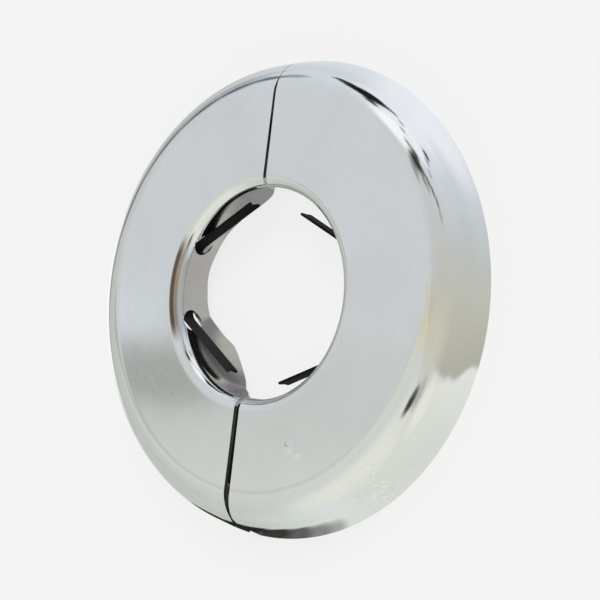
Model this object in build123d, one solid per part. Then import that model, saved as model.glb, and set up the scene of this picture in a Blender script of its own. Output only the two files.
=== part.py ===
from build123d import *
from math import cos, hypot, radians, sin, tan
import os

# Pressed ring, the driving sizes in mm
rim_radius = 39.5
plate_height = 8.2
sheet = 0.7
skirt_slope = 18.0
shoulder_radius = 6.2
bore_radius = 17.25
bore_roll = 1.95
collar_draft = 4.0
collar_foot = 0.3

# Where the ring is parted into halves
seam_x = -0.92
gap_at_latch = 0.4
gap_at_hinge = 1.05
gap_at_pivot = 0.42
pivot_inset = 2.7
gap_narrowing = 4.2
notch_angle = 21.0

# Grip springs and the holes they are threaded through
strip_width = 2.5
strip_thickness = 0.4
strip_depth = 3.05
strip_bend = 0.8
hole_radius = 1.85
band_clearance = 0.03
tip_notch = 0.5
tip_notch_width = 1.6

# Hinge behind the face
leaf_sheet = 0.6
leaf_width = 2.5
leaf_angle = 42.0
leaf_pad_start = 10.6
leaf_pad_end = 15.6
leaf_ramp_start = 2.8
leaf_clearance = 0.05
hinge_lift = 0.05
rivet_radius = 0.7
rivet_clearance = 0.04
rivet_head_radius = 1.05
rivet_head = 0.45

# Latch tongue behind the face
tongue_sheet = 0.7
tongue_inset = 13.0
tongue_width = 6.0
tongue_root = -9.5
tongue_tip = 6.0
tongue_step = 0.6
tongue_step_inset = 1.2
tongue_corner = 1.5
tongue_clearance = 0.15

# How far a cutting solid reaches past what it cuts
cut_margin = 3.0

# Each half's spring holes, at the latch end and at the hinge end, as angles up from the level
left_holes = (25.0, -19.5)
right_holes = (31.5, -35.0)

# Where each spring leg ends, x and y as shares of the bore radius
left_tips = ((-0.293, 0.846), (-0.325, -0.773))
right_tips = ((0.357, 0.765), (0.33, -0.817))

# Free rear edge of each collar, y as a share of the bore radius and height as a share of the plate's
left_edge = [
    (1.02, 0.756), (1.0, 0.646), (0.988, 0.427), (0.968, 0.256), (0.933, 0.134), (0.881, 0.067),
    (0.823, 0.061), (0.759, 0.098), (0.69, 0.122), (0.58, 0.171), (0.461, 0.189), (0.339, 0.207),
    (0.22, 0.232), (0.096, 0.226), (-0.029, 0.189), (-0.151, 0.165), (-0.255, 0.122),
]
left_foot_edge = [(-0.945, 0.195), (-0.974, 0.305), (-0.994, 0.524), (-1.02, 0.756)]
right_edge = [
    (1.02, 0.805), (0.968, 0.793), (0.939, 0.561), (0.904, 0.268), (0.846, 0.134), (0.464, 0.183),
    (-0.116, 0.195), (-0.696, 0.122), (-0.893, 0.146), (-0.962, 0.28), (-0.997, 0.561), (-1.02, 0.756),
]

# Lip turned into the bore on the left collar beside the hinge, radius as a share of the bore's against angle
lip_join = 2.3
lip_slope = 0.8
lip_ramp = 2.55
lip_weld = 0.05
lip_edge = [
    (1.003, 191.0), (0.962, 196.3), (0.904, 203.6), (0.864, 211.4), (0.809, 220.6), (0.817, 232.1),
    (0.849, 240.2), (0.922, 249.6), (0.98, 254.6), (1.009, 256.5),
]

inner_face = plate_height - sheet
strip_level = plate_height - strip_depth
pivot_radius = rim_radius - pivot_inset
pivot = (seam_x, -pivot_radius)
rivet_low = hinge_lift + rivet_head
lower_leaf_level = rivet_low + leaf_clearance
upper_leaf_level = lower_leaf_level + leaf_sheet + leaf_clearance
rivet_high = upper_leaf_level + leaf_sheet


def polar(radius, angle):
    return (radius * cos(radians(angle)), radius * sin(radians(angle)))


def sheet_ring():
    # one wall of the sheet, turned a full circle about the bore's axis
    slope = radians(skirt_slope)
    draft = radians(collar_draft)
    flat_end = rim_radius - (shoulder_radius + (plate_height - shoulder_radius) * sin(slope)) / cos(slope)
    roll_x = bore_radius + bore_roll * cos(draft)
    roll_z = plate_height - bore_roll

    def shoulder(radius, angle):
        return (flat_end + radius * sin(angle), plate_height - shoulder_radius + radius * cos(angle))

    def roll(radius, angle):
        return (roll_x - radius * sin(angle), roll_z + radius * cos(angle))

    def collar(point):
        return (point[0] - (point[1] - collar_foot) * tan(draft), collar_foot)

    def bend(place, radius, turn):
        # one pressed bend, tangent to the flats on both sides of it
        ThreePointArc(*[place(radius, turn * share) for share in (0, 0.5, 1)])

    shoulder_turn = radians(90) - slope
    roll_turn = radians(90) - draft
    back_shoulder = shoulder_radius - sheet
    back_roll = bore_roll - sheet
    with BuildPart() as turned:
        with BuildSketch(Plane.XZ):
            with BuildLine():
                Line((rim_radius, 0), shoulder(shoulder_radius, shoulder_turn))
                bend(shoulder, shoulder_radius, shoulder_turn)
                Line(shoulder(shoulder_radius, 0), roll(bore_roll, 0))
                bend(roll, bore_roll, roll_turn)
                Line(roll(bore_roll, roll_turn), collar(roll(bore_roll, roll_turn)))
                Line(collar(roll(bore_roll, roll_turn)), collar(roll(back_roll, roll_turn)))
                Line(collar(roll(back_roll, roll_turn)), roll(back_roll, roll_turn))
                bend(roll, back_roll, roll_turn)
                Line(roll(back_roll, 0), shoulder(back_shoulder, 0))
                bend(shoulder, back_shoulder, shoulder_turn)
                Line(shoulder(back_shoulder, shoulder_turn), (rim_radius - sheet / cos(slope), 0))
                Line((rim_radius - sheet / cos(slope), 0), (rim_radius, 0))
            make_face()
        revolve(axis=Axis.Z)
    return turned.part


def half_blank(side):
    # everything on one side of the seam: side is -1 for the left, 1 for the right
    reach = rim_radius + cut_margin
    narrows_at = pivot_radius - gap_narrowing
    taper = (gap_at_hinge - gap_at_latch) / (bore_radius + rim_radius)
    notch_run = (reach - pivot_radius) * tan(radians(notch_angle))
    edge = [
        (gap_at_latch / 2, reach),
        (gap_at_latch / 2, rim_radius),
        (gap_at_latch / 2 + taper * (rim_radius + narrows_at) / 2, -narrows_at),
        (gap_at_pivot / 2, -pivot_radius),
        (gap_at_pivot / 2 + notch_run, -reach),
        (reach, -reach),
        (reach, reach),
    ]
    with BuildPart() as blank:
        with BuildSketch():
            with BuildLine():
                Polyline(*[(seam_x + side * x, y) for x, y in edge], close=True)
            make_face()
        extrude(amount=plate_height + cut_margin)
    return blank.part


def collar_zone(height):
    # the room that the collar takes, clear of the skirt and the face
    return Cylinder(bore_radius + 2 * sheet, 2 * height)


def edge_cutter(side, shares):
    # what lies behind a collar's free edge
    points = [(y * bore_radius, z * plate_height) for y, z in shares]
    with BuildPart() as cutter:
        with BuildSketch(Plane.YZ):
            with BuildLine():
                rim = Spline(*points)
                Polyline(rim @ 1, (points[-1][0], -cut_margin), (points[0][0], -cut_margin), rim @ 0)
            make_face()
        extrude(amount=side * (bore_radius + cut_margin))
    return cutter.part & collar_zone(plate_height)


def spring_holes(side):
    holes = []
    for turn in left_holes if side < 0 else right_holes:
        angle = turn if side > 0 else 180 - turn
        start = polar(bore_radius - cut_margin, angle)
        direction = polar(1, angle)
        plane = Plane((start[0], start[1], strip_level), z_dir=(direction[0], direction[1], 0))
        holes.append(extrude(plane * Circle(hole_radius), 2 * cut_margin))
    return holes


def turned_lip():
    # conical flap that carries the left collar's edge into the bore beside the hinge
    edge = [polar(share * bore_radius, angle) for share, angle in lip_edge]
    first_angle = lip_edge[0][1]
    last_angle = lip_edge[-1][1]
    low = bore_radius - lip_ramp
    high = bore_radius + lip_weld
    rise = sheet * hypot(1, lip_slope)
    low_back = low - (rise - sheet) / lip_slope
    inner = min(share for share, angle in lip_edge) * bore_radius - lip_weld
    foot = collar_foot
    with BuildPart() as flap:
        with BuildSketch(Plane.XZ):
            with BuildLine():
                Polyline(
                    (inner, foot),
                    (low, foot),
                    (high, foot + (high - low) * lip_slope),
                    (high, foot + (high - low) * lip_slope + rise),
                    (low_back, foot + sheet),
                    (inner, foot + sheet),
                    close=True,
                )
            make_face()
        revolve(axis=Axis.Z)
        with BuildSketch():
            with BuildLine():
                inside = Spline(*edge)
                outer = bore_radius + cut_margin
                first = polar(outer, first_angle)
                last = polar(outer, last_angle)
                Line(inside @ 1, last)
                ThreePointArc(last, polar(outer, (first_angle + last_angle) / 2), first)
                Line(first, inside @ 0)
            make_face()
        extrude(amount=plate_height, mode=Mode.INTERSECT)
    return flap.part


def shell(side):
    ring = sheet_ring() & half_blank(side)
    for hole in spring_holes(side):
        ring = ring - hole
    if side > 0:
        return ring - edge_cutter(side, right_edge)
    ring = ring - edge_cutter(side, left_edge)
    ring = ring - edge_cutter(side, left_foot_edge)
    # the collar is cut short where the lip takes over
    start = left_edge[-1][0] * bore_radius
    end = left_foot_edge[0][0] * bore_radius
    step = Pos(-bore_radius, (start + end) / 2, 0) * Box(2 * bore_radius, start - end, 2 * lip_join)
    return ring - (step & collar_zone(lip_join)) + turned_lip()


def strip_path(side, tips, turns):
    # where the band outside the collar turns into a straight leg through each hole
    band = bore_radius + sheet + band_clearance + strip_thickness / 2
    wall = bore_radius + sheet / 2
    ends = []
    for tip, turn in zip(tips, turns):
        crossing = polar(wall, turn)
        crossing = (side * crossing[0], crossing[1])
        run = (tip[0] - crossing[0], tip[1] - crossing[1])
        length = hypot(*run)
        run = (run[0] / length, run[1] / length)
        along = crossing[0] * run[0] + crossing[1] * run[1]
        back = -along - (along ** 2 - wall ** 2 + band ** 2) ** 0.5
        ends.append((crossing[0] + back * run[0], crossing[1] + back * run[1]))
    return band, ends


def strip(side, shares, turns):
    tips = [(x * bore_radius, y * bore_radius) for x, y in shares]
    band, corners = strip_path(side, tips, turns)
    with BuildPart() as spring:
        with BuildSketch():
            with BuildLine() as path:
                Line(tips[0], corners[0])
                ThreePointArc(corners[0], (side * band, 0), corners[1])
                Line(corners[1], tips[1])
                inner_corners = [
                    v for v in path.vertices() if abs(hypot(v.X, v.Y) - band) < 0.01
                ]
                fillet(inner_corners, strip_bend)
                offset(amount=strip_thickness / 2, side=Side.BOTH, mode=Mode.REPLACE)
            make_face()
        extrude(amount=strip_width)
    body = Pos(0, 0, strip_level - strip_width / 2) * spring.part
    # each leg ends in a shallow fish tail
    for tip, corner in zip(tips, corners):
        run = (tip[0] - corner[0], tip[1] - corner[1])
        length = hypot(*run)
        run = (run[0] / length, run[1] / length)
        across = (-run[1], run[0], 0)
        plane = Plane((tip[0], tip[1], strip_level), x_dir=(run[0], run[1], 0), z_dir=across)
        tail = make_face(
            Polyline((-tip_notch, 0), (tip_notch, tip_notch_width), (tip_notch, -tip_notch_width), close=True)
        )
        body = body - extrude(plane * tail, strip_thickness, both=True)
    return body


def leaf(side, level):
    # a strip from the pivot out to a pad under the face, stepped up between the two
    pad = inner_face - leaf_sheet
    line = [
        (-leaf_width, level),
        (leaf_ramp_start, level),
        (leaf_pad_start, pad),
        (leaf_pad_end, pad),
        (leaf_pad_end, pad + leaf_sheet),
        (leaf_pad_start - leaf_sheet / 2, pad + leaf_sheet),
        (leaf_ramp_start - leaf_sheet / 2, level + leaf_sheet),
        (-leaf_width, level + leaf_sheet),
    ]
    angle = leaf_angle if side > 0 else 180 - leaf_angle
    run = polar(1, angle)
    across = (run[1], -run[0])
    plane = Plane(
        (pivot[0] - across[0] * leaf_width / 2, pivot[1] - across[1] * leaf_width / 2, 0),
        x_dir=(run[0], run[1], 0),
        z_dir=(across[0], across[1], 0),
    )
    bar = extrude(plane * make_face(Polyline(*line, close=True)), leaf_width)
    middle = (pivot[0] + run[0] * leaf_pad_end / 2, pivot[1] + run[1] * leaf_pad_end / 2, 0)
    outline = Pos(*middle) * Rot(0, 0, angle) * Box(leaf_pad_end, leaf_width, 4 * plate_height)
    outline = outline + Pos(pivot[0], pivot[1], 0) * Cylinder(leaf_width / 2, 4 * plate_height)
    return bar & outline


def hinge_rivet(low, high):
    return (
        Pos(pivot[0], pivot[1], (low + high) / 2) * Cylinder(rivet_radius, high - low)
        + Pos(pivot[0], pivot[1], low - rivet_head / 2) * Cylinder(rivet_head_radius, rivet_head)
        + Pos(pivot[0], pivot[1], high + rivet_head / 2) * Cylinder(rivet_head_radius, rivet_head)
    )


def latch_tongue():
    # rooted under the left half's face and reaching past the seam under the right half's
    low = inner_face - tongue_sheet
    step = seam_x - tongue_step_inset
    side_y = rim_radius - tongue_inset + tongue_width / 2
    line = [
        (tongue_root, low),
        (step, low),
        (step + tongue_step, low - tongue_clearance),
        (tongue_tip, low - tongue_clearance),
        (tongue_tip, inner_face - tongue_clearance),
        (step + tongue_step, inner_face - tongue_clearance),
        (step, inner_face),
        (tongue_root, inner_face),
    ]
    plane = Plane((0, side_y, 0), x_dir=(1, 0, 0), z_dir=(0, -1, 0))
    tongue = extrude(plane * make_face(Polyline(*line, close=True)), tongue_width)
    corners = tongue.edges().filter_by(Axis.Z).group_by(Axis.X)
    return fillet(corners[0] + corners[-1], tongue_corner)


def drilled(part, radius):
    return part - Pos(pivot[0], pivot[1], 0) * Cylinder(radius, 4 * plate_height)


nodes = {
    "left_shell": shell(-1),
    "right_shell": shell(1),
    "left_grip_spring": strip(-1, left_tips, left_holes),
    "right_grip_spring": strip(1, right_tips, right_holes),
    "left_hinge_leaf": drilled(leaf(-1, upper_leaf_level), rivet_radius),
    "right_hinge_leaf": drilled(leaf(1, lower_leaf_level), rivet_radius + rivet_clearance),
    "hinge_rivet": hinge_rivet(rivet_low, rivet_high),
    "latch_tongue": latch_tongue(),
}

os.makedirs("parts", exist_ok=True)
for name, node in nodes.items():
    export_step(node, f"parts/{name}.step")
    print(name, len(node.solids()), round(node.volume, 2), node.bounding_box())
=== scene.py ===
from math import acos, asin, atan2, cos, degrees, hypot, pi, radians, sin, sqrt, tan

import bmesh
import bpy
from mathutils import Matrix, Vector


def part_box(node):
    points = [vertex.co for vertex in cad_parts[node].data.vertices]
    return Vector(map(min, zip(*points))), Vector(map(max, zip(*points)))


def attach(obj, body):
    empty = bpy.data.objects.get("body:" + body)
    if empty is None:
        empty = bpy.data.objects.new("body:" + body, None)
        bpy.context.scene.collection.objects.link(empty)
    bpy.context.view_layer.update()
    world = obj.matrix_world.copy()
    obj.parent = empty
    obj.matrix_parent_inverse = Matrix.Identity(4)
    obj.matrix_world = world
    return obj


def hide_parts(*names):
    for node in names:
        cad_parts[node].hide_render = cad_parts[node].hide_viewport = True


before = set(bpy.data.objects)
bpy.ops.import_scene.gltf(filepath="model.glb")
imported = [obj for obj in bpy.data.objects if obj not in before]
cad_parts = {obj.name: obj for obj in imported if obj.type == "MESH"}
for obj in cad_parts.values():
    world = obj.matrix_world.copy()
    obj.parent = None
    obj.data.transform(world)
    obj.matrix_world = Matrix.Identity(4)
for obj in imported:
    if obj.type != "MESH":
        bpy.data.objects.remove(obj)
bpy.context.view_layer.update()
mm = 0.001
print("frame loaded with", len(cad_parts), "nodes")


# Small helpers for curves

def reading(points, x):
    # smooth curve through a few (x, value) points, read at x
    points = sorted(points)
    if x <= points[0][0]:
        return points[0][1]
    if x >= points[-1][0]:
        return points[-1][1]
    slopes = []
    for i in range(len(points)):
        a, b = points[max(i - 1, 0)], points[min(i + 1, len(points) - 1)]
        slopes.append((b[1] - a[1]) / (b[0] - a[0]))
    i = max(k for k in range(len(points) - 1) if points[k][0] <= x)
    (x0, y0), (x1, y1) = points[i], points[i + 1]
    step = x1 - x0
    t = (x - x0) / step
    return (
        y0 * (1 + 2 * t) * (1 - t) ** 2
        + slopes[i] * step * t * (1 - t) ** 2
        + y1 * t * t * (3 - 2 * t)
        + slopes[i + 1] * step * t * t * (t - 1)
    )


def spaced(line, count):
    # count + 1 points at even steps along a line of (r, z) points
    lengths = [0]
    for a, b in zip(line, line[1:]):
        lengths.append(lengths[-1] + hypot(b[0] - a[0], b[1] - a[1]))
    points, k = [], 0
    for i in range(count + 1):
        want = lengths[-1] * i / count
        while k < len(line) - 2 and lengths[k + 1] < want:
            k += 1
        share = (want - lengths[k]) / max(lengths[k + 1] - lengths[k], 1e-12)
        points.append(tuple(a + (b - a) * share for a, b in zip(line[k], line[k + 1])))
    return points


cutEdge = {"segments": 2, "sharpFrom": radians(50)}


def finished(name, bm, body, materials, replaces, bevel):
    # turns a bmesh into a piece that rides on its body
    mesh = bpy.data.meshes.new(name)
    bm.to_mesh(mesh)
    bm.free()
    for material in materials:
        mesh.materials.append(material)
    mesh.shade_smooth()
    piece = bpy.data.objects.new(name, mesh)
    bpy.context.scene.collection.objects.link(piece)
    edge = piece.modifiers.new("cutEdges", "BEVEL")
    edge.width = bevel
    edge.segments = cutEdge["segments"]
    edge.limit_method = "ANGLE"
    edge.angle_limit = cutEdge["sharpFrom"]
    edge.harden_normals = True
    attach(piece, body)
    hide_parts(*replaces)
    print("made", name, "with", len(mesh.polygons), "faces")


# Shader nodes

class Value:
    # one socket, so that shader maths reads as sums

    def __init__(self, nodes, socket):
        self.nodes = nodes
        self.socket = socket

    def maths(self, operation, *rest):
        return self.nodes.add("ShaderNodeMath", {"operation": operation}, [self, *rest])

    def __add__(self, other):
        return self.maths("ADD", other)

    def __radd__(self, other):
        return self.maths("ADD", other)

    def __sub__(self, other):
        return self.maths("SUBTRACT", other)

    def __rsub__(self, other):
        return self.nodes.add("ShaderNodeMath", {"operation": "SUBTRACT"}, [other, self])

    def __mul__(self, other):
        return self.maths("MULTIPLY", other)

    def __rmul__(self, other):
        return self.maths("MULTIPLY", other)

    def __truediv__(self, other):
        return self.maths("DIVIDE", other)

    def __rtruediv__(self, other):
        return self.nodes.add("ShaderNodeMath", {"operation": "DIVIDE"}, [other, self])


class Nodes:
    # a node tree that is filled through one method

    def __init__(self, tree):
        self.tree = tree
        tree.nodes.clear()

    def add(self, kind, settings=None, sockets=(), out=0):
        node = self.tree.nodes.new(kind)
        for key, value in (settings or {}).items():
            if key == "stops":
                while len(node.color_ramp.elements) < len(value):
                    node.color_ramp.elements.new(1)
                for element, (place, color) in zip(node.color_ramp.elements, value):
                    element.position = place
                    element.color = (*color, 1)
            else:
                setattr(node, key, value)
        pairs = sockets.items() if isinstance(sockets, dict) else enumerate(sockets)
        for key, value in pairs:
            self.feed(node.inputs[key], value)
        return Value(self, node.outputs[out]) if node.outputs else node

    def feed(self, socket, value):
        if isinstance(value, Value):
            self.tree.links.new(value.socket, socket)
        elif isinstance(value, (tuple, list)) and len(value) == 3 and socket.type == "RGBA":
            socket.default_value = (*value, 1)
        else:
            socket.default_value = value

    def noise(self, place, scale, detail=2, roughness=0.5):
        values = {"Vector": place, "Scale": scale, "Detail": detail, "Roughness": roughness}
        return self.add("ShaderNodeTexNoise", None, values)

    def ramp(self, value, *stops):
        return self.add("ShaderNodeValToRGB", {"stops": stops}, [value])

    def step(self, value, low, high):
        # 0 below low, 1 above high, smooth between
        values = {"Value": value, "From Min": low, "From Max": high}
        return self.add("ShaderNodeMapRange", {"interpolation_type": "SMOOTHSTEP"}, values)

    def mix(self, factor, a, b):
        return self.add("ShaderNodeMix", {"data_type": "RGBA"}, {0: factor, 6: a, 7: b}, out=2)

    def vector(self, operation, *values, out=0):
        return self.add("ShaderNodeVectorMath", {"operation": operation}, values, out)

    def parts(self, vector):
        split = self.add("ShaderNodeSeparateXYZ", None, [vector])
        return [Value(self, socket) for socket in split.socket.node.outputs]

    def near(self, place, centre, inner, outer):
        # 1 within inner metres of a point of the piece, 0 past outer
        gap = self.vector("DISTANCE", place, centre, out=1)
        return 1 - self.step(gap, inner, outer)


def newMaterial(name):
    material = bpy.data.materials.new(name)
    material.use_nodes = True
    return material, Nodes(material.node_tree)


def closed(nodes, **sockets):
    # the principled shader and the output; keys are socket names with _ for a space
    named = {key.replace("_", " "): value for key, value in sockets.items()}
    shader = nodes.add("ShaderNodeBsdfPrincipled", None, named)
    nodes.add("ShaderNodeOutputMaterial", None, {"Surface": shader})


def bumped(nodes, *layers):
    # stacked bumps, each (height, depth in metres, strength)
    normal = None
    for height, depth, strength in layers:
        sockets = {"Height": height, "Distance": depth, "Strength": strength}
        if normal:
            sockets["Normal"] = normal
        normal = nodes.add("ShaderNodeBump", None, sockets)
    return normal


def makeChrome():
    material, nodes = newMaterial("chromePlate")
    place = nodes.add("ShaderNodeTexCoord", out="Object")
    x, y, z = nodes.parts(place)
    reach = nodes.vector("LENGTH", nodes.vector("MULTIPLY", place, (1, 1, 0)), out=1)
    cloud = nodes.noise(place, 90, 3)
    grain = nodes.noise(place, 3000, 3, 0.6)
    wave = nodes.noise(place, 170, 2)
    smear = nodes.noise(place, 420, 5, 0.65)
    pits = nodes.noise(place, 1300, 5, 0.7)
    tint = nodes.mix(nodes.step(cloud, 0.4, 0.7), (0.80, 0.812, 0.82), (0.768, 0.778, 0.775))
    tint = nodes.mix(nodes.step(grain, 0.35, 0.65) * 0.25, tint, (0.70, 0.71, 0.71))

    # painted dark brown reflection down the bore's roll on the left, and a dull bluish strip inside
    # it
    leftRollSide = nodes.step(y, -0.0100, -0.0060) * nodes.step(y, 0.0090, 0.0045) * nodes.step(x, 0, -0.01)
    strip = leftRollSide * nodes.step(reach, 0.0183, 0.0180)
    dulled = strip * (0.4 + 0.6 * nodes.step(reach, 0.0172, 0.0176))
    tint = nodes.mix(dulled, tint, (0.58, 0.60, 0.68))
    # the brown line is a painted reflection, darkest in its core
    paintedReflection = leftRollSide * nodes.step(reach, 0.0178, 0.0182) * nodes.step(reach, 0.0196, 0.0192)
    paintedReflectionCore = leftRollSide * nodes.step(reach, 0.0184, 0.0187) * nodes.step(reach, 0.0195, 0.0192)
    tint = nodes.mix(paintedReflection * (0.7 + 0.3 * cloud), tint, (0.33, 0.26, 0.20))
    tint = nodes.mix(paintedReflectionCore * (0.7 + 0.4 * cloud), tint, (0.12, 0.08, 0.055))

    # painted warm reflection: a yellow tint on the plating of the right shoulder
    warmReflection = nodes.step(reach, 0.0332, 0.0338) * nodes.step(reach, 0.0352, 0.0342)
    warmReflection = warmReflection * nodes.step(x, 0, 0.03)
    warmReflection = warmReflection * nodes.step(y, -0.0085, -0.0035) * nodes.step(y, 0.0065, 0.0015)
    tint = nodes.mix(warmReflection * (0.25 + 0.4 * cloud), tint, (0.80, 0.70, 0.46))

    # inside the bore the plating is duller, most of all on the lip
    inBore = nodes.step(reach, 0.0178, 0.0173) * nodes.step(z, 0.0075, 0.0062)
    onLip = nodes.step(reach, 0.0170, 0.0165)
    streaks = nodes.noise(nodes.vector("MULTIPLY", place, (1, 1, 0.15)), 900, 4, 0.6)
    tint = nodes.mix(inBore * nodes.step(streaks, 0.35, 0.7) * 0.35, tint, (0.60, 0.58, 0.54))
    # the lip is darker near its bend and lighter towards its inner edge
    lipNearBend = nodes.mix(streaks, (0.17, 0.165, 0.175), (0.28, 0.27, 0.275))
    lipNearEdge = nodes.mix(streaks, (0.42, 0.40, 0.37), (0.56, 0.54, 0.50))
    lipTint = nodes.mix(nodes.step(reach, 0.0160, 0.0148), lipNearBend, lipNearEdge)
    tint = nodes.mix(onLip * 0.9, tint, lipTint)

    # a pressed ring where the shoulder starts, a dent, a smudge and a rough patch by the lower rim
    ripple = nodes.step(reach, 0.0317, 0.0325) * nodes.step(reach, 0.0337, 0.0327)
    dent = nodes.near(place, (0.0110, -0.0236, 0.0082), 0.0001, 0.0012)
    dent = dent + 0.7 * nodes.near(place, (0.0125, -0.0243, 0.0082), 0.0001, 0.0013)
    smudge = nodes.near(place, (-0.0158, -0.0185, 0.0082), 0.0002, 0.0008)
    smudge = smudge * nodes.step(pits, 0.4, 0.6)
    tint = nodes.mix(smudge * 0.4, tint, (0.55, 0.55, 0.53))
    rough = nodes.near(place, (0.0250, -0.0282, 0.003), 0.002, 0.0075)
    # the bright specks are painted glints of the rough patch; darker specks lie between them
    tint = nodes.mix(rough * nodes.step(pits, 0.54, 0.66) * 0.6, tint, (0.98, 0.98, 0.98))
    tint = nodes.mix(rough * nodes.step(pits, 0.46, 0.34) * 0.3, tint, (0.62, 0.62, 0.60))
    roughness = 0.065 + 0.03 * cloud + 0.03 * nodes.step(smear, 0.5, 0.75) + 0.06 * rough * pits
    roughness = roughness + 0.1 * inBore + 0.26 * onLip + 0.12 * strip
    normal = bumped(
        nodes, (wave, 0.00001, 0.5), (grain, 0.0000012, 0.5), (dent, 0.00006, 1.0),
        (rough * pits, 0.00012, 0.9), (ripple, 0.000025, 1.0),
    )
    closed(nodes, Base_Color=tint, Metallic=1 - 0.75 * onLip, Roughness=roughness, Normal=normal)
    return material


def makeBackFinish():
    material, nodes = newMaterial("dullPlateBack")
    place = nodes.add("ShaderNodeTexCoord", out="Object")
    cloud = nodes.noise(place, 120, 4)
    grain = nodes.noise(place, 1800, 4, 0.6)
    tint = nodes.mix(nodes.step(cloud, 0.35, 0.7), (0.56, 0.56, 0.55), (0.43, 0.40, 0.36))
    normal = bumped(nodes, (grain, 0.000004, 0.5))
    closed(nodes, Base_Color=tint, Metallic=1.0, Roughness=0.34 + 0.12 * cloud, Normal=normal)
    return material


def makeBlackSteel():
    material, nodes = newMaterial("blackSpringSteel")
    place = nodes.add("ShaderNodeTexCoord", out="Object")
    cloud = nodes.noise(place, 260, 4)
    grain = nodes.noise(place, 2600, 4, 0.65)
    x, y, _ = nodes.parts(place)
    tint = nodes.mix(nodes.step(cloud, 0.45, 0.75), (0.003, 0.0034, 0.0042), (0.008, 0.009, 0.011))
    # lighter on the lower left of the bore
    lowerLeftPart = nodes.step(y, -0.002, -0.007) * nodes.step(x, 0, -0.005)
    tint = nodes.mix(lowerLeftPart, tint, nodes.mix(cloud, (0.012, 0.012, 0.015), (0.028, 0.027, 0.032)))
    roughness = 0.52 + 0.2 * grain
    normal = bumped(nodes, (grain, 0.000005, 0.6))
    closed(
        nodes, Base_Color=tint, Metallic=0.0, Roughness=roughness, Specular_IOR_Level=0.09,
        Normal=normal,
    )
    return material


def makeBareSteel():
    material, nodes = newMaterial("brownedSteel")
    place = nodes.add("ShaderNodeTexCoord", out="Object")
    cloud = nodes.noise(place, 320, 4)
    grain = nodes.noise(place, 2400, 4, 0.6)
    tint = nodes.mix(nodes.step(cloud, 0.35, 0.7), (0.17, 0.125, 0.095), (0.30, 0.25, 0.21))
    normal = bumped(nodes, (grain, 0.000006, 0.6))
    closed(nodes, Base_Color=tint, Metallic=0.8, Roughness=0.42 + 0.2 * cloud, Normal=normal)
    return material


def makeSeamGrimeAndShade():
    # the cut edges in the seam, dull and dirty, darkened to near black as painted shade of the
    # narrow gap
    material, nodes = newMaterial("seamGrimeAndShade")
    place = nodes.add("ShaderNodeTexCoord", out="Object")
    cloud = nodes.noise(place, 500, 4)
    grain = nodes.noise(place, 2400, 4, 0.6)
    tint = nodes.mix(nodes.step(cloud, 0.4, 0.7), (0.022, 0.020, 0.018), (0.07, 0.062, 0.055))
    normal = bumped(nodes, (grain, 0.000006, 0.6))
    closed(nodes, Base_Color=tint, Metallic=0.3, Roughness=0.55 + 0.2 * grain, Normal=normal)
    return material


chrome = makeChrome()
backFinish = makeBackFinish()
seamGrimeAndShade = makeSeamGrimeAndShade()
blackSteel = makeBlackSteel()
bareSteel = makeBareSteel()
print("finishes made")

# The plate, one pressed half ring on each side of the seam

plate = {
    "rimRadius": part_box("right_shell")[1].x,
    "height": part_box("right_shell")[1].z,
    "sheet": 0.7 * mm,
    "skirtSlope": radians(18),
    "shoulderRadius": 6.2 * mm,
    "boreRadius": 17.25 * mm,
    "boreRoll": 1.95 * mm,
    "collarDraft": radians(4),
    "seamX": -0.92 * mm,
    "gapAtLatch": 0.4 * mm,
    "gapAtHinge": 1.05 * mm,
    "gapAtPivot": 0.42 * mm,
    "closesFrom": 33.5 * mm,
    "closesOver": 2 * mm,
    "closesBy": 0.75,
    "pivotInset": 2.7 * mm,
    "gapNarrowing": 4.2 * mm,
    "notchAngle": radians(21),
    "columns": 240,
    "skirtRows": 5,
    "shoulderRows": 26,
    "faceRows": 18,
    "boreRows": 45,
    "rollSteps": 16,
    "edgeBevel": 0.06 * mm,
    "darkFrom": 18.6 * mm,
    "cutWithin": 1.2 * mm,
    "cutFacing": 0.85,
}

# free rear edge of each collar: y as a share of the bore radius, height as a share of the plate's
collarEdge = {
    -1: [
        (1.02, 0.756), (1.0, 0.646), (0.988, 0.427), (0.968, 0.256), (0.933, 0.134),
        (0.881, 0.067), (0.823, 0.061), (0.759, 0.098), (0.69, 0.122), (0.58, 0.171),
        (0.461, 0.189), (0.339, 0.207), (0.22, 0.232), (0.096, 0.226), (-0.029, 0.189),
        (-0.151, 0.165), (-0.255, 0.122), (-0.39, 0.085), (-0.52, 0.061), (-0.656, 0.044),
        (-0.855, 0.044), (-0.91, 0.06), (-0.945, 0.17), (-0.974, 0.305), (-0.994, 0.524),
        (-1.02, 0.756),
    ],
    1: [
        (1.02, 0.805), (0.968, 0.793), (0.939, 0.561), (0.904, 0.268), (0.846, 0.134),
        (0.464, 0.183), (-0.116, 0.195), (-0.696, 0.122), (-0.893, 0.146), (-0.962, 0.28),
        (-0.997, 0.561), (-1.02, 0.756),
    ],
}

# lip turned into the bore on the left: angle round the bore against its reach from the axis
lip = {
    "bendAt": 5.6 * mm,
    "bendEase": 0.7 * mm,
    "bendSteps": 12,
    "reach": [
        (195.7, 16.86 * mm), (203.2, 15.75 * mm), (211.5, 14.8 * mm), (220.8, 13.86 * mm),
        (226, 13.84 * mm), (231.8, 14.15 * mm), (238.8, 14.87 * mm), (245.4, 15.93 * mm),
        (249.3, 16.45 * mm), (251.5, 16.83 * mm),
    ],
}

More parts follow.
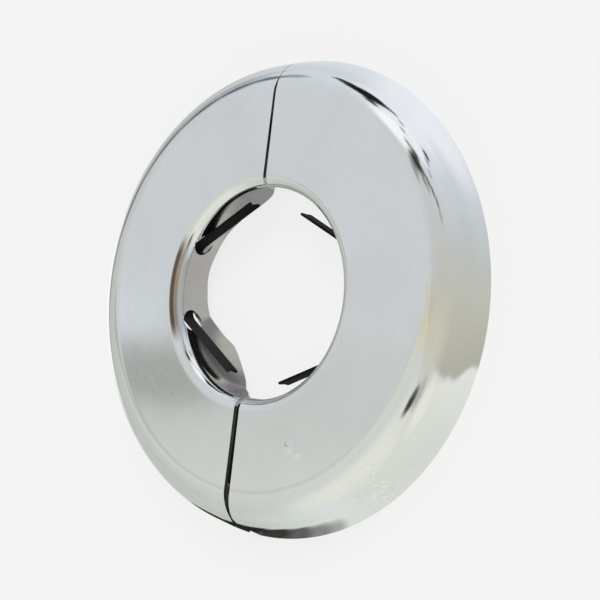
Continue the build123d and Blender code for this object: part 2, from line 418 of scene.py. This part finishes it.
shoulderTurn = radians(90) - plate["skirtSlope"]
rollTurn = radians(90) - plate["collarDraft"]
shoulderDrop = (plate["height"] - plate["shoulderRadius"]) * sin(plate["skirtSlope"])
flatEnd = plate["rimRadius"] - (plate["shoulderRadius"] + shoulderDrop) / cos(plate["skirtSlope"])
rollX = plate["boreRadius"] + plate["boreRoll"] * cos(plate["collarDraft"])
rollZ = plate["height"] - plate["boreRoll"]
rollEndZ = rollZ + plate["boreRoll"] * cos(rollTurn)
pivotRadius = plate["rimRadius"] - plate["pivotInset"]


def halfGap(y):
    # half the seam's width: even taper, closing at the latch, pinched and notched at the pivot
    taper = (plate["gapAtHinge"] - plate["gapAtLatch"]) / (plate["boreRadius"] + plate["rimRadius"])
    narrows = pivotRadius - plate["gapNarrowing"]
    if y > -narrows:
        closing = min(1, max(0, (y - plate["closesFrom"]) / plate["closesOver"]))
        wide = plate["gapAtLatch"] / 2 + taper * (plate["rimRadius"] - y) / 2
        return wide * (1 - plate["closesBy"] * closing)
    if y > -pivotRadius:
        wide = plate["gapAtLatch"] / 2 + taper * (plate["rimRadius"] + narrows) / 2
        return wide + (plate["gapAtPivot"] / 2 - wide) * (-y - narrows) / plate["gapNarrowing"]
    return plate["gapAtPivot"] / 2 + (-y - pivotRadius) * tan(plate["notchAngle"])


def seamTurn(side, radius, end):
    # angle from the seam line's +Y or -Y direction to the half's edge at this radius
    y = radius
    for _ in range(4):  # the gap depends on y, which settles in a few rounds
        x = side * plate["seamX"] + halfGap(end * y)
        y = sqrt(radius * radius - x * x)
    return asin(x / radius)


def wallRadius(z):
    # the bore's surface at a height
    if z > rollEndZ:
        return rollX - sqrt(plate["boreRoll"] ** 2 - (z - rollZ) ** 2)
    return plate["boreRadius"] - (rollEndZ - z) * tan(plate["collarDraft"])


def boreLine(side, turn):
    # from the face over the roll and down the collar to its free edge
    foot = reading(collarEdge[side], cos(turn)) * plate["height"]
    low = max(foot, rollEndZ)
    last = acos(min(1, (low - rollZ) / plate["boreRoll"]))
    line = []
    for k in range(plate["rollSteps"] + 1):
        angle = last * k / plate["rollSteps"]
        out, up = sin(angle), cos(angle)
        line.append((rollX - plate["boreRoll"] * out, rollZ + plate["boreRoll"] * up))
    if foot >= rollEndZ:
        return line
    around = 90 - side * degrees(turn) if side > 0 else 90 + degrees(turn)
    reach = wallRadius(foot)
    if side < 0 and lip["reach"][0][0] < around < lip["reach"][-1][0]:
        reach = min(reach, reading(lip["reach"], around))
    bendTop = lip["bendAt"] + lip["bendEase"]
    if foot > bendTop:
        return line + [(wallRadius(foot), foot)]
    a = (wallRadius(bendTop), bendTop)
    middle = max(lip["bendAt"], foot)
    b = (wallRadius(middle), middle)
    c = (reach, foot)
    for k in range(lip["bendSteps"] + 1):
        t = k / lip["bendSteps"]
        near, mid, far = (1 - t) ** 2, 2 * t * (1 - t), t * t
        line.append(tuple(p * near + q * mid + s * far for p, q, s in zip(a, b, c)))
    return line


def plateRows():
    # the plate's section from the rim to where the roll starts
    rim = (plate["rimRadius"], 0)
    centre = plate["height"] - plate["shoulderRadius"]
    shoulder = []
    for k in range(plate["shoulderRows"] + 1):
        angle = shoulderTurn * (1 - k / plate["shoulderRows"])
        out, up = plate["shoulderRadius"] * sin(angle), plate["shoulderRadius"] * cos(angle)
        shoulder.append((flatEnd + out, centre + up))
    skirt = spaced([rim, shoulder[0]], plate["skirtRows"])
    face = spaced([shoulder[-1], (rollX, plate["height"])], plate["faceRows"])
    return skirt[:-1] + shoulder[:-1] + face


def punchHole(bm, side, turn):
    # takes the faces out of a round hole and draws its rim onto the circle
    middle = radians(turn) if side > 0 else radians(180 - turn)
    out = Vector((cos(middle), sin(middle), 0))
    along = Vector((-sin(middle), cos(middle), 0))
    level = spring["level"]
    radius = spring["holeRadius"]

    def offset(point):
        return point.dot(along), point.z - level

    def inHole(point):
        return point.dot(out) > 0 and hypot(*offset(point)) < radius and point.xy.length < rollX

    inside = [f for f in bm.faces if inHole(f.calc_center_median())]
    rim = {v for f in inside for v in f.verts}
    bmesh.ops.delete(bm, geom=inside, context="FACES")
    for v in rim:
        if v.is_valid and v.is_boundary:
            u, w = offset(v.co)
            grow = radius / hypot(u, w)
            reach = hypot(v.co.x, v.co.y)
            u, w = u * grow, w * grow
            v.co = out * sqrt(reach * reach - u * u) + along * u + Vector((0, 0, level + w))


def makeShell(name, side, body):
    rows = plateRows()
    firstBoreRow = len(rows) - 1
    # the bore's points stand in a row until each column's own line places them
    rows += [(rollX - k * 0.1 * mm, plate["height"]) for k in range(1, plate["boreRows"] + 1)]
    columns = plate["columns"]
    bm = bmesh.new()
    rowOf = bm.verts.layers.int.new("row")
    section = []
    for i, (radius, z) in enumerate(rows):
        v = bm.verts.new((0, radius, z))
        v[rowOf] = i
        section.append(v)
    edges = [bm.edges.new(pair) for pair in zip(section, section[1:])]
    bmesh.ops.spin(
        bm, geom=section + edges, cent=(0, 0, 0), axis=(0, 0, 1), angle=-side * pi, steps=columns
    )
    lines = {}
    for v in bm.verts:
        share = atan2(side * v.co.x, v.co.y) / pi
        if share < -0.5:
            share += 2
        column = round(share * columns)
        row = v[rowOf]
        if row <= firstBoreRow:
            radius, z = rows[row]
        else:
            if column not in lines:
                first = seamTurn(side, plate["boreRadius"], 1)
                last = pi - seamTurn(side, plate["boreRadius"], -1)
                turn = first + (last - first) * column / columns
                lines[column] = spaced(boreLine(side, turn), plate["boreRows"])
            radius, z = lines[column][row - firstBoreRow]
        first = seamTurn(side, radius, 1)
        last = pi - seamTurn(side, radius, -1)
        turn = first + (last - first) * column / columns
        v.co = (side * radius * sin(turn), radius * cos(turn), z)
    for turn in spring["holes"][side]:
        punchHole(bm, side, turn)
    bmesh.ops.recalc_face_normals(bm, faces=bm.faces)
    top = max(bm.faces, key=lambda f: f.calc_center_median().z)
    if top.normal.z < 0:
        bmesh.ops.reverse_faces(bm, faces=bm.faces)
    bmesh.ops.solidify(bm, geom=list(bm.faces), thickness=plate["sheet"])
    for v in bm.verts:
        if v.co.z < 0:  # the rim's cut edge lies flat on the wall
            pull = 1 + v.co.z * tan(plate["skirtSlope"]) / hypot(v.co.x, v.co.y)
            v.co = (v.co.x * pull, v.co.y * pull, 0)
    bm.normal_update()
    # cut faces in the seam take the back finish by the bore, and the painted seam shade further out
    for f in bm.faces:
        middle = f.calc_center_median()
        inSeam = abs(middle.x - plate["seamX"]) < plate["cutWithin"]
        if inSeam and abs(f.normal.x) > plate["cutFacing"]:
            f.material_index = 2 if abs(middle.y) > plate["darkFrom"] else 1
    finishes = [chrome, backFinish, seamGrimeAndShade]
    node = name.split(".")[0]
    finished(name, bm, body, finishes, [node], plate["edgeBevel"])


# The grip springs

spring = {
    "width": 2.5 * mm,
    "thickness": 0.4 * mm,
    "level": plate["height"] - 3.05 * mm,
    "bend": 0.8 * mm,
    "holeRadius": 1.85 * mm,
    "clearance": 0.03 * mm,
    "notch": {-1: 0.45 * mm, 1: 0.2 * mm},
    "notchWidth": 1.6 * mm,
    "rows": 10,
    "bendSteps": 8,
    "bandSteps": 40,
    "legSteps": 12,
    "bandClear": 1.3,
    "touching": 1e-7,
    "edgeBevel": 0.05 * mm,
    "holes": {-1: (25, -19.5), 1: (31.5, -35)},  # angles up from the level
    "tips": {  # as shares of the bore radius
        -1: ((-0.293, 0.846), (-0.325, -0.773)),
        1: ((0.357, 0.765), (0.33, -0.817)),
    },
}


def rounded(before, corner, after, reach):
    # the points of a bend between two runs that leave the corner
    a = corner + (before - corner).normalized() * reach
    b = corner + (after - corner).normalized() * reach
    points = []
    for k in range(spring["bendSteps"] + 1):
        t = k / spring["bendSteps"]
        points.append(a * (1 - t) ** 2 + corner * 2 * t * (1 - t) + b * t * t)
    return points


def springLine(side):
    # the band outside the collar between two straight legs, seen from the front
    band = plate["boreRadius"] + plate["sheet"] + spring["clearance"] + spring["thickness"] / 2
    wall = plate["boreRadius"] + plate["sheet"] / 2
    tips, corners = [], []
    for (x, y), turn in zip(spring["tips"][side], spring["holes"][side]):
        tip = Vector((x, y)) * plate["boreRadius"]
        crossing = Vector((side * cos(radians(turn)), sin(radians(turn)))) * wall
        run = (tip - crossing).normalized()
        along = crossing.dot(run)
        tips.append(tip)
        corners.append(crossing - run * (along + sqrt(along ** 2 - wall ** 2 + band ** 2)))
    first, last = [atan2(c.y, side * c.x) for c in corners]
    arc = []
    for k in range(spring["bandSteps"] + 1):
        turn = first + (last - first) * k / spring["bandSteps"]
        arc.append(Vector((side * cos(turn), sin(turn))) * band)
    reach = spring["bend"]
    line = rounded(tips[0], corners[0], arc[2], reach)
    clear = spring["bandClear"] * reach
    line += [p for p in arc if min((p - c).length for c in corners) > clear]
    line += rounded(arc[-3], corners[1], tips[1], reach)
    runs = []
    count = spring["legSteps"]
    for tip, start in ((tips[0], line[0]), (tips[1], line[-1])):
        runs.append([tip + (start - tip) * k / count for k in range(count)])
    return runs[0] + line + runs[1][::-1]


def makeSpring(name, side, body):
    line = springLine(side)
    low = spring["level"] - spring["width"] / 2
    bm = bmesh.new()
    verts = [bm.verts.new((p.x, p.y, low)) for p in line]
    edges = [bm.edges.new(pair) for pair in zip(verts, verts[1:])]
    for _ in range(spring["rows"]):
        row = bmesh.ops.extrude_edge_only(bm, edges=edges)["geom"]
        edges = [
            e for e in row if isinstance(e, bmesh.types.BMEdge)
            and abs(e.verts[0].co.z - e.verts[1].co.z) < spring["touching"]
            and all(len(v.link_edges) <= 3 for v in e.verts)
        ]
        moved = {v for e in edges for v in e.verts}
        bmesh.ops.translate(bm, verts=list(moved), vec=(0, 0, spring["width"] / spring["rows"]))
    for end, second in ((line[0], line[1]), (line[-1], line[-2])):
        inward = (second - end).normalized()
        for v in bm.verts:
            if (v.co.xy - end).length < spring["touching"]:
                off = abs(v.co.z - spring["level"])
                cut = max(0, spring["notch"][side] * (1 - 2 * off / spring["notchWidth"]))
                v.co += Vector((inward.x, inward.y, 0)) * cut
    bmesh.ops.recalc_face_normals(bm, faces=bm.faces)
    bm.normal_update()
    for v in bm.verts:
        v.co += v.normal * spring["thickness"] / 2
    bmesh.ops.solidify(bm, geom=list(bm.faces), thickness=spring["thickness"])
    node = name.split(".")[0]
    finished(name, bm, body, [blackSteel], [node], spring["edgeBevel"])


makeShell("left_shell.plated", -1, "left_half")
makeShell("right_shell.plated", 1, "right_half")
makeSpring("left_grip_spring.strip", -1, "left_half")
makeSpring("right_grip_spring.strip", 1, "right_half")

# The hinge and the tongue keep the frame's shapes, with their edges broken

fitting = {
    "edgeBevel": 0.05 * mm,
    "weld": 0.001 * mm,
    "flatWithin": radians(1),
}


def makeFitting(name, body, finish):
    bm = bmesh.new()
    bm.from_mesh(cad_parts[name].data)
    bmesh.ops.remove_doubles(bm, verts=bm.verts, dist=fitting["weld"])
    bmesh.ops.dissolve_limit(bm, angle_limit=fitting["flatWithin"], verts=bm.verts, edges=bm.edges)
    finished(name + ".edged", bm, body, [finish], [name], fitting["edgeBevel"])


makeFitting("left_hinge_leaf", "left_half", bareSteel)
makeFitting("right_hinge_leaf", "right_half", bareSteel)
makeFitting("hinge_rivet", "left_half", bareSteel)
makeFitting("latch_tongue", "left_half", backFinish)

# Camera, floor and light

camera = {
    "lens": 86.9,
    "sensor": 36,
    "distance": 239.6 * mm,
    "turn": radians(40.385),
    "tilt": radians(-1.653),
    "roll": radians(-6.804),
    "aside": -2.024 * mm,
    "above": 0.496 * mm,
}


def makeCamera():
    turn, tilt, roll = camera["turn"], camera["tilt"], camera["roll"]
    back = Vector((sin(turn) * cos(tilt), sin(tilt), cos(turn) * cos(tilt)))
    level = Vector((0, 1, 0)).cross(back).normalized()
    above = back.cross(level)
    right = cos(roll) * level - sin(roll) * above
    up = sin(roll) * level + cos(roll) * above
    place = camera["distance"] * back - camera["aside"] * right - camera["above"] * up
    data = bpy.data.cameras.new("camera")
    data.lens = camera["lens"]
    data.sensor_width = camera["sensor"]
    data.clip_start = 0.01
    data.clip_end = 20
    view = bpy.data.objects.new("camera", data)
    view.matrix_world = Matrix((
        (right.x, up.x, back.x, place.x),
        (right.y, up.y, back.y, place.y),
        (right.z, up.z, back.z, place.z),
        (0, 0, 0, 1),
    ))
    bpy.context.scene.collection.objects.link(view)
    bpy.context.scene.camera = view


makeCamera()

light = {
    "plateTone": 0.8,  # how much of what it mirrors the plating gives back
    "backdrop": (0.896, 0.896, 0.896),
    "sunTurn": radians(75),
    "sunHeight": radians(42),
    "sunStrength": 0.9,
    "sunSoftness": radians(25),
}


def seen(*shade):
    # the light that makes the plating show this shade, given as 0 to 255 in red, green and blue
    return tuple((c / 255) ** 2.2 / light["plateTone"] for c in shade)


# what stands round the object, low and high, by compass angle from +X
lowRound = [
    (-180, seen(186, 189, 184)), (-150, seen(187, 192, 184)), (-126, seen(198, 204, 196)),
    (-102, seen(214, 219, 213)), (-70, seen(213, 216, 208)), (-42, seen(217, 220, 212)),
    (-26, seen(224, 225, 217)), (-23.5, seen(174, 173, 160)), (-8, seen(185, 183, 171)),
    (8, seen(190, 189, 179)), (22, seen(190, 192, 190)), (36, seen(193, 198, 200)),
    (54, seen(202, 207, 211)), (66, seen(217, 221, 226)), (80, seen(238, 240, 244)),
    (95, seen(233, 237, 241)), (114, seen(210, 216, 222)), (130, seen(200, 209, 214)),
    (155, seen(198, 203, 206)), (180, seen(186, 189, 184)),
]
highRound = [
    (-180, seen(200, 203, 202)), (-177.2, seen(195, 199, 197)), (-174, seen(196, 200, 196)),
    (-172, seen(206, 209, 201)), (-160, seen(208, 210, 202)), (-120, seen(204, 207, 202)),
    (-70, seen(208, 211, 204)),
    (-45, seen(203, 205, 197)), (-30, seen(200, 199, 189)), (-16, seen(200, 197, 182)),
    (-2, seen(199, 195, 179)), (10, seen(196, 192, 178)), (22, seen(193, 191, 183)),
    (40, seen(192, 193, 190)), (70, seen(193, 195, 194)), (100, seen(198, 201, 201)),
    (130, seen(201, 204, 207)), (166, seen(201, 204, 207)), (175, seen(202, 205, 209)),
    (180, seen(200, 203, 202)),
]
# soft shapes in it: compass angle, height, core and fade in degrees, shade
shapes = [
    # light towards +Y
    (88, -8, 10, 27, seen(229, 233, 239)),
    (93, 36, 5, 14, seen(246, 246, 247)),
    (73, 25, 3, 9, seen(236, 236, 240)),
    # a grey area between +Y and -X, with a row of small dark spots across it
    (150, 6, 7, 18, seen(166, 170, 173)),
    (168, 0, 5, 15, seen(164, 166, 166)),
    (130, 15, 1, 6, seen(150, 154, 158)),
    (137, 14, 1, 6, seen(104, 108, 112)),
    (145, 13, 1, 6, seen(96, 99, 103)),
    (153, 11, 1, 6, seen(92, 95, 98)),
    (161, 8, 1, 6, seen(98, 100, 102)),
    (169, 4, 1, 6, seen(112, 114, 114)),
    (177, -1, 1, 6, seen(136, 138, 136)),
    # a shadowed fold over the left of the face, with light above it
    (-179.9, 42.0, 0.9, 3.4, seen(209, 214, 219)),
    (-177.4, 45.5, 0.4, 1.9, seen(160, 163, 156)),
    (-177.4, 43.8, 0.4, 1.9, seen(156, 159, 153)),
    (-177.4, 41.0, 0.4, 2.2, seen(156, 159, 154)),
    (-178.4, 37.0, 0.5, 2.6, seen(158, 160, 155)),
    (-178.4, 33.0, 0.5, 2.8, seen(154, 155, 150)),
    # light towards -Y
    (-88, 46, 10, 34, seen(223, 224, 212)),
    (-40, 28, 4, 16, seen(229, 230, 219)),
    # the dark oval low on the right
    (-61, 63, 1, 4.5, seen(112, 113, 106)),
    (-54, 60, 2.5, 6, seen(40, 41, 38)),
    (-48, 57, 1, 5, seen(84, 85, 78)),
    (-41, 50, 1, 8, seen(176, 176, 163)),
    # the second dark streak of the upper right, with its tails
    (46, 40, 1, 4, seen(160, 163, 163)),
    (52, 38.5, 0.8, 3.2, seen(118, 119, 118)),
    (58, 40, 0.8, 3, seen(92, 93, 91)),
    (64, 41, 1, 3.2, seen(100, 101, 99)),
    (70, 42, 1, 3.6, seen(104, 104, 102)),
    (65, 47, 0.8, 3, seen(146, 147, 146)),
    (71, 48, 1, 3.4, seen(132, 132, 130)),
    (87, 56, 0.5, 4, seen(150, 149, 146)),
    (84, 51, 1, 4.5, seen(132, 130, 127)),
    (82, 36, 0.5, 3.2, seen(132, 128, 126)),
    (80, 46, 2, 5, seen(84, 82, 80)),
    (76, 37, 1.5, 4, seen(74, 72, 70)),
    (77, 43, 3, 5.5, seen(52, 50, 50)),
    # the short third one
    (62, 29, 0.5, 3, seen(160, 160, 160)),
    (65.5, 22, 0.5, 3, seen(142, 142, 142)),
    (67.2, 15.5, 1.2, 4, seen(52, 52, 52)),
    # the first and blackest
    (84, 26, 0.3, 2.4, seen(112, 106, 104)),
    (84.5, 17, 0.3, 2.6, seen(146, 142, 136)),
    (89, 12, 1, 3.4, seen(138, 134, 118)),
    (93, 13, 1.5, 4, seen(96, 93, 84)),
    (102, 24, 1.5, 4.5, seen(58, 57, 54)),
    (98, 13.5, 4, 6.5, seen(34, 34, 32)),
    (102.5, 14.5, 6, 8.5, seen(26, 26, 25)),
    (107, 13, 4, 6.5, seen(26, 26, 25)),
    (110.5, 9, 2.5, 4.5, seen(38, 38, 37)),
    (113.5, 6, 1.2, 3.4, seen(64, 64, 66)),
]


ragged = {"scale": 40, "detail": 3, "bend": 0.028}  # how far noise bends the shapes' edges


def surroundings(nodes, direction):
    # the studio as the plating mirrors it
    x, y, z = nodes.parts(direction)
    turn = y.maths("ARCTAN2", x) / (2 * pi) + 0.5
    low = nodes.ramp(turn, *[((angle + 180) / 360, shade) for angle, shade in lowRound])
    high = nodes.ramp(turn, *[((angle + 180) / 360, shade) for angle, shade in highRound])
    tone = nodes.mix(nodes.step(z, sin(radians(15)), sin(radians(58))), low, high)
    values = {"Vector": direction, "Scale": ragged["scale"], "Detail": ragged["detail"]}
    noise = nodes.add("ShaderNodeTexNoise", None, values, out=1)
    bend = ragged["bend"]
    bent = nodes.vector("MULTIPLY_ADD", noise, (bend, bend, bend), direction)
    bent = nodes.vector("SUBTRACT", bent, (bend / 2, bend / 2, bend / 2))
    bent = nodes.vector("NORMALIZE", bent)
    for angle, height, core, fade, shade in shapes:
        a, h = radians(angle), radians(height)
        centre = (cos(a) * cos(h), sin(a) * cos(h), sin(h))
        near = nodes.vector("DOT_PRODUCT", bent, centre, out=1)
        tone = nodes.mix(nodes.step(near, cos(radians(fade)), cos(radians(core))), tone, shade)
    return tone


floorLook = {
    "size": 4,
    "pale": (0.89, 0.89, 0.89),
    "dark": (0.03, 0.03, 0.03),
    "background": (0.915, 0.915, 0.915),
    "plainShare": 0.85,  # the rest shows the object's shadow
    # painted shadow along the foot, which the plating mirrors, as soft spots: x, y in metres, core,
    # fade in mm, shade
    "footShadow": [
        (-0.014, -0.0400, 2.6, 5.4, 44), (-0.008, -0.0415, 2.6, 5.4, 38),
        (0.0150, -0.0364, 1.6, 4.2, 160), (0.0120, -0.0378, 1.6, 4.4, 128),
        (0.0080, -0.0396, 1.8, 4.6, 92), (0.0030, -0.0410, 2.2, 5.2, 56),
        (-0.003, -0.0420, 2.6, 5.4, 40),
    ],
}


def makeFloor():
    # pale to the camera; the plating mirrors the low part of the surroundings in it
    bm = bmesh.new()
    bmesh.ops.create_grid(bm, x_segments=1, y_segments=1, size=floorLook["size"])
    mesh = bpy.data.meshes.new("floor")
    bm.to_mesh(mesh)
    bm.free()
    material, nodes = newMaterial("paleFloor")
    place = nodes.add("ShaderNodeTexCoord", out="Object")
    x, y, _ = nodes.parts(place)
    reach = nodes.vector("LENGTH", place, out=1)
    close = nodes.step(reach, 0.048, 0.041) * nodes.step(x, 0.025, 0.037)
    far = nodes.step(reach, 0.046, 0.13)
    turn = y.maths("ARCTAN2", x) * (1 + 0.021 / reach.maths("MAXIMUM", 0.035) + 0.6 * close)
    turn = turn.maths("MAXIMUM", -pi).maths("MINIMUM", pi)
    heading = [turn.maths("COSINE"), turn.maths("SINE"), 0.46 * far - 0.5]
    heading = nodes.add("ShaderNodeCombineXYZ", None, heading)
    tone = surroundings(nodes, nodes.vector("NORMALIZE", heading))

    # the ring under the plate, less a patch that shows through the left half's holes
    underPlate = nodes.step(reach, 0.0192, 0.0205) * nodes.step(reach, 0.0392, 0.0386)
    shown = nodes.step(y, -0.013, -0.009) * nodes.step(y, 0.013, 0.009)
    shown = nodes.step(x, -0.0165, -0.0185) * shown
    underPlate = underPlate * (1 - shown * (0.25 + 0.75 * nodes.step(y, 0.001, -0.002)))

    # tones close by: painted light to the left of the plate, greys under the bore, the painted
    # shadow along the foot
    for centre, inner, outer, shade in (
        ((-0.060, -0.004, 0), 0.012, 0.032, seen(243, 244, 244)),
        ((0, 0, 0), 0.014, 0.019, seen(178, 175, 168)),
        ((-0.009, 0.013, 0), 0.003, 0.009, seen(134, 134, 133)),
        ((-0.008, -0.013, 0), 0.003, 0.009, seen(118, 116, 124)),
    ):
        tone = nodes.mix(nodes.near(place, centre, inner, outer), tone, shade)
    for spotX, spotY, inner, outer, shade in floorLook["footShadow"]:
        spot = nodes.near(place, (spotX, spotY, 0), inner * mm, outer * mm)
        tone = nodes.mix(spot, tone, seen(shade, shade + 1, shade - 1))

    # painted shadow under the half that never moves, where the seam looks through to the floor
    underLeft = underPlate * nodes.step(x, -0.0015, -0.0030)
    shade = nodes.mix(underLeft, floorLook["pale"], floorLook["dark"])
    lit = nodes.add("ShaderNodeBsdfDiffuse", None, {"Color": shade})
    values = {"Color": floorLook["background"], "Strength": 1.0}
    plain = nodes.add("ShaderNodeEmission", None, values)
    mirrored = nodes.add("ShaderNodeEmission", None, {"Color": tone, "Strength": 1.0})
    toCamera = nodes.add("ShaderNodeLightPath", out="Is Camera Ray")
    toPlate = nodes.add("ShaderNodeLightPath", out="Is Glossy Ray")
    plainly = toCamera * (1 - underPlate) * floorLook["plainShare"]
    surface = nodes.add("ShaderNodeMixShader", None, {0: plainly, 1: lit, 2: plain})
    surface = nodes.add("ShaderNodeMixShader", None, {0: toPlate, 1: surface, 2: mirrored})
    nodes.add("ShaderNodeOutputMaterial", None, {"Surface": surface})
    mesh.materials.append(material)
    floor = bpy.data.objects.new("floor", mesh)
    bpy.context.scene.collection.objects.link(floor)


def makeWorld():
    world = bpy.data.worlds.new("studio")
    world.use_nodes = True
    bpy.context.scene.world = world
    nodes = Nodes(world.node_tree)
    direction = nodes.add("ShaderNodeTexCoord", out="Generated")
    toCamera = nodes.add("ShaderNodeLightPath", out="Is Camera Ray")
    sky = nodes.mix(toCamera, surroundings(nodes, direction), light["backdrop"])
    glow = nodes.add("ShaderNodeBackground", None, {"Color": sky, "Strength": 1.0})
    nodes.add("ShaderNodeOutputWorld", None, {"Surface": glow})


def makeSun():
    lamp = bpy.data.lights.new("softSun", "SUN")
    lamp.energy = light["sunStrength"]
    lamp.angle = light["sunSoftness"]
    sun = bpy.data.objects.new("softSun", lamp)
    turn, height = light["sunTurn"], light["sunHeight"]
    toSun = Vector((cos(turn) * cos(height), sin(turn) * cos(height), sin(height)))
    sun.rotation_euler = toSun.to_track_quat("Z", "Y").to_euler()
    sun.visible_glossy = False
    bpy.context.scene.collection.objects.link(sun)


makeFloor()
makeWorld()
makeSun()
print("studio made")

bpy.context.scene.view_settings.view_transform = "Standard"
